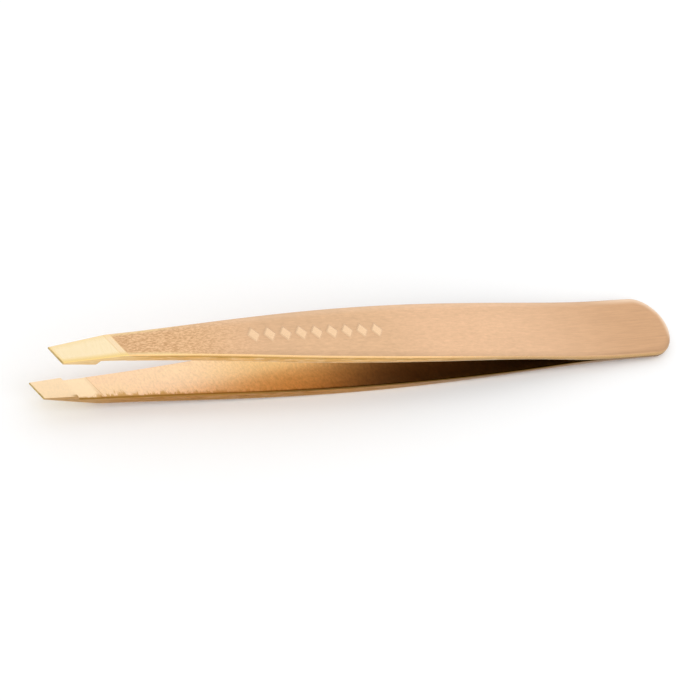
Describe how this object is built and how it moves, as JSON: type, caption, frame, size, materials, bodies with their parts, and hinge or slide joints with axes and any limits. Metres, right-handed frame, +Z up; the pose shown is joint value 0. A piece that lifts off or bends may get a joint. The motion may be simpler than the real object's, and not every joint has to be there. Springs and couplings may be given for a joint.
{
  "type": "slant tweezers",
  "caption": "Slant-tip tweezers: two tapered, bowed spring arms welded together at a rounded butt, with narrow angled gripping tips.",
  "frame": {"origin": "on the table, under the middle of the outline, with the tweezers lying on their lower arm", "axes": "+X along the length towards the butt (the tips point along -X), +Y across the width towards the long corner of the slanted tips, +Z up from the table through the lower arm to the upper arm"},
  "size_m": [0.0958, 0.0096, 0.0107],
  "materials": {
    "rose_gold_steel": "stainless steel with a rose-gold coating, satin and brushed along the length; the side edges and the ground tip facets are polished",
    "weld_steel": "bare resistance-welded steel, hidden between the arms"
  },
  "bodies": {
    "butt": {"upper_butt": "rose_gold_steel", "lower_butt": "rose_gold_steel", "spot_weld_1": "weld_steel", "spot_weld_2": "weld_steel"},
    "upper_spring_arm": {"upper_arm": "rose_gold_steel"},
    "lower_spring_arm": {"lower_arm": "rose_gold_steel"}
  },
  "joints": [
    {"name": "upper_arm_flex", "type": "hinge", "parent": "butt", "child": "upper_spring_arm", "pos_m": [0.02427, 0, 0.00332], "axis": [0, -1, 0], "range_deg": [0, 2.6], "stiffness_Nm_per_rad": 2.2},
    {"name": "lower_arm_flex", "type": "hinge", "parent": "butt", "child": "lower_spring_arm", "pos_m": [0.02413, 0, 0.00088], "axis": [0, 1, 0], "range_deg": [0, 2.6], "stiffness_Nm_per_rad": 2.2}
  ],
  "couplings": [
    {"joint": "lower_arm_flex", "follows": "upper_arm_flex", "ratio": 1}
  ]
}
